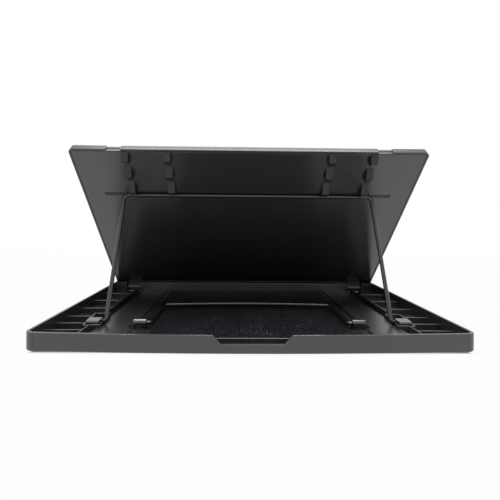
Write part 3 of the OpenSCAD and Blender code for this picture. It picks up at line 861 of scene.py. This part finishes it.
class ALBUMSTAND_OT_long_bail(PieceOperator, bpy.types.Operator):
    """Bend the long wire bail that props the open panel"""

    bl_idname = "album_stand.long_bail"
    bl_label = "Long bail"

    def execute(self, context):
        s = sizes()
        low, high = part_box("long_bail")
        pivot = PIVOT["long_bail_fold"]
        bar = Vector((high.y - s.wire_radius - pivot.y, high.z - s.wire_radius - pivot.z))
        leg, angle = bar.length, math.atan2(bar.y, bar.x)
        reach, r, foot = high.x, s.long_bend, s.foot_bend
        wire = WireRun((-reach, 0, 0), s.wire_radius, s.wire_sides)
        wire.straight(reach - s.long_leg_x - foot)
        wire.bend(90, foot, 10).straight(leg - r - foot, 6).bend(-90, r, 12)
        wire.straight(2 * (s.long_leg_x - r), 12)
        wire.bend(-90, r, 12).straight(leg - r - foot, 6).bend(90, foot, 10)
        wire.straight(reach - s.long_leg_x - foot)
        bm = wire.close(s.wire_chamfer)
        turn = Matrix.Rotation(angle, 4, "X")
        bmesh.ops.transform(bm, matrix=Matrix.Translation(pivot) @ turn, verts=bm.verts)
        finish_piece("long_bail_wire", bm, "long_bail", "bail_wire", ["long_bail"], sharp=50)
        return {"FINISHED"}


class ALBUMSTAND_OT_short_bail(PieceOperator, bpy.types.Operator):
    """Bend the short wire bail with its bowed crossbar"""

    bl_idname = "album_stand.short_bail"
    bl_label = "Short bail"

    def execute(self, context):
        s = sizes()
        pivot = PIVOT["short_bail_swing"]
        reach, r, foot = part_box("short_bail")[1].x, s.short_bend, s.foot_bend
        half = s.short_leg_x - r
        sweep = 2 * math.atan(s.short_bow / half)
        bow = (half + r * math.sin(sweep)) / math.sin(sweep)
        corner, leg = math.degrees(sweep), s.short_leg - r - foot
        wire = WireRun((-reach, 0, 0), s.wire_radius, s.wire_sides)
        wire.straight(reach - s.short_leg_x - foot)
        wire.bend(90, foot, 10).straight(leg, 4).bend(corner - 90, r, 10)
        wire.bend(-2 * corner, bow, 40)
        wire.bend(corner - 90, r, 10).straight(leg, 4).bend(90, foot, 10)
        wire.straight(reach - s.short_leg_x - foot)
        bm = wire.close(s.wire_chamfer)
        bmesh.ops.translate(bm, vec=pivot, verts=bm.verts)
        finish_piece("short_bail_wire", bm, "short_bail", "bail_wire", ["short_bail"], sharp=50)
        return {"FINISHED"}


class ALBUMSTAND_OT_clips(PieceOperator, bpy.types.Operator):
    """Dress the bearing blocks that hold the bails' feet"""

    bl_idname = "album_stand.clips"
    bl_label = "Bail clips"

    def execute(self, context):
        for node in ("long_clip_left", "long_clip_right", "short_clip_left", "short_clip_right"):
            bm = rounded_copy(node, sizes().clip_round)
            finish_piece(node + "_block", bm, "base", "clip_plastic", [node])
        return {"FINISHED"}


class ALBUMSTAND_OT_stage(bpy.types.Operator):
    """Set the pale floor, the soft light and the camera"""

    bl_idname = "album_stand.stage"
    bl_label = "Stage"

    def execute(self, context):
        make_floor()
        make_light()
        make_camera()
        return {"FINISHED"}


# ---------------------------------------------------------------- stage


def shows_background(tree):
    """1 for rays that show the background: seen by the camera, in gloss or through glass."""
    path = tree.nodes.new("ShaderNodeLightPath").outputs
    mirrored = add_math(tree, "MAXIMUM", path["Is Glossy Ray"], path["Is Transmission Ray"])
    return add_math(tree, "MAXIMUM", path["Is Camera Ray"], mirrored)


def make_floor():
    """A wide pale floor that shows nearly white and keeps a soft shadow."""
    bm = bmesh.new()
    bmesh.ops.create_grid(bm, x_segments=1, y_segments=1, size=FLOOR_SIZE)
    mesh = bpy.data.meshes.new("studio_floor")
    bm.to_mesh(mesh)
    bm.free()
    floor = bpy.data.objects.new("studio_floor", mesh)
    bpy.context.scene.collection.objects.link(floor)
    material = bpy.data.materials.new("studio_floor")
    material.use_nodes = True
    tree = material.node_tree
    tree.nodes.clear()
    matt = tree.nodes.new("ShaderNodeBsdfDiffuse")
    matt.inputs["Color"].default_value = (*colours().floor, 1)
    white = tree.nodes.new("ShaderNodeEmission")
    mix = tree.nodes.new("ShaderNodeMixShader")
    place = tree.nodes.new("ShaderNodeSeparateXYZ")
    tree.links.new(object_coordinates(tree), place.inputs[0])
    beside = []
    for axis in (0, 1):
        distance = add_math(tree, "ABSOLUTE", place.outputs[axis])
        beside.append(add_math(tree, "SUBTRACT", distance, CAD_BOX[1][axis]))
    away = add_math(tree, "MAXIMUM", *beside)
    outside = add_range(tree, away, *SHADOW_EDGE)
    far = add_range(tree, away, *SHADOW_FADE, SHADOW_WHITE, 1.0)
    whiteness = add_math(tree, "MULTIPLY", outside, far)
    tree.links.new(add_math(tree, "MULTIPLY", shows_background(tree), whiteness), mix.inputs["Fac"])
    tree.links.new(matt.outputs[0], mix.inputs[1])
    tree.links.new(white.outputs[0], mix.inputs[2])
    tree.links.new(mix.outputs[0], tree.nodes.new("ShaderNodeOutputMaterial").inputs["Surface"])
    mesh.materials.append(material)


def make_light():
    """An even room light, white where it is seen, and one softbox overhead."""
    stage = bpy.context.scene.album_stand_stage
    world = bpy.data.worlds.new("studio")
    bpy.context.scene.world = world
    world.use_nodes = True
    tree = world.node_tree
    tree.nodes.clear()
    light = tree.nodes.new("ShaderNodeBackground")
    light.inputs["Strength"].default_value = stage.sky
    white = tree.nodes.new("ShaderNodeBackground")
    for background in (light, white):
        background.inputs["Color"].default_value = (1, 1, 1, 1)
    mix = tree.nodes.new("ShaderNodeMixShader")
    tree.links.new(shows_background(tree), mix.inputs["Fac"])
    tree.links.new(light.outputs[0], mix.inputs[1])
    tree.links.new(white.outputs[0], mix.inputs[2])
    tree.links.new(mix.outputs[0], tree.nodes.new("ShaderNodeOutputWorld").inputs["Surface"])
    lamp = bpy.data.lights.new("overhead_softbox", "AREA")
    lamp.shape = "RECTANGLE"
    lamp.size, lamp.size_y = stage.softbox_size
    lamp.energy = stage.overhead
    holder = bpy.data.objects.new("overhead_softbox", lamp)
    holder.location = stage.softbox_place
    bpy.context.scene.collection.objects.link(holder)


def make_camera():
    """A level camera behind the stand's rear wall, looking at the underside of the panel."""
    stage = bpy.context.scene.album_stand_stage
    lens = bpy.data.cameras.new("view_camera")
    lens.sensor_width = SENSOR_WIDTH
    lens.lens = stage.lens
    lens.shift_x, lens.shift_y = stage.shift
    lens.clip_start, lens.clip_end = 0.01, 50
    camera = bpy.data.objects.new("view_camera", lens)
    level = Matrix.Rotation(math.radians(90), 4, "X")
    yaw = Matrix.Rotation(-stage.yaw, 4, "Z")
    roll = Matrix.Rotation(stage.roll, 4, "Z")
    camera.matrix_world = Matrix.Translation(stage.eye) @ yaw @ level @ roll
    bpy.context.scene.collection.objects.link(camera)
    bpy.context.scene.camera = camera
    bpy.context.scene.view_settings.view_transform = "Standard"


# ---------------------------------------------------------------- sidebar and registration

STEPS = (
    ALBUMSTAND_OT_tray, ALBUMSTAND_OT_lining, ALBUMSTAND_OT_feet, ALBUMSTAND_OT_hinge_pins,
    ALBUMSTAND_OT_panel, ALBUMSTAND_OT_ledge, ALBUMSTAND_OT_ledge_grip, ALBUMSTAND_OT_screws,
    ALBUMSTAND_OT_long_bail, ALBUMSTAND_OT_short_bail, ALBUMSTAND_OT_clips, ALBUMSTAND_OT_stage,
)


class ALBUMSTAND_PT_sidebar(bpy.types.Panel):
    """The stand's pieces, sizes and colours"""

    bl_label = "Photo Album Stand"
    bl_idname = "ALBUMSTAND_PT_sidebar"
    bl_space_type = "VIEW_3D"
    bl_region_type = "UI"
    bl_category = "Album Stand"

    def draw(self, context):
        for step in STEPS:
            self.layout.operator(step.bl_idname)
        for group in (sizes(), colours(), context.scene.album_stand_stage):
            box = self.layout.box()
            for name in type(group).__annotations__:
                box.prop(group, name)


CLASSES = (AlbumStandSizes, AlbumStandColours, AlbumStandStage, *STEPS, ALBUMSTAND_PT_sidebar)


def register():
    for cls in CLASSES:
        bpy.utils.register_class(cls)
    bpy.types.Scene.album_stand_sizes = PointerProperty(type=AlbumStandSizes)
    bpy.types.Scene.album_stand_colours = PointerProperty(type=AlbumStandColours)
    bpy.types.Scene.album_stand_stage = PointerProperty(type=AlbumStandStage)


def unregister():
    del bpy.types.Scene.album_stand_stage
    del bpy.types.Scene.album_stand_colours
    del bpy.types.Scene.album_stand_sizes
    for cls in reversed(CLASSES):
        bpy.utils.unregister_class(cls)


def main():
    register()
    for step in STEPS:
        group, name = step.bl_idname.split(".")
        getattr(getattr(bpy.ops, group), name)()


if __name__ == "__main__":
    main()
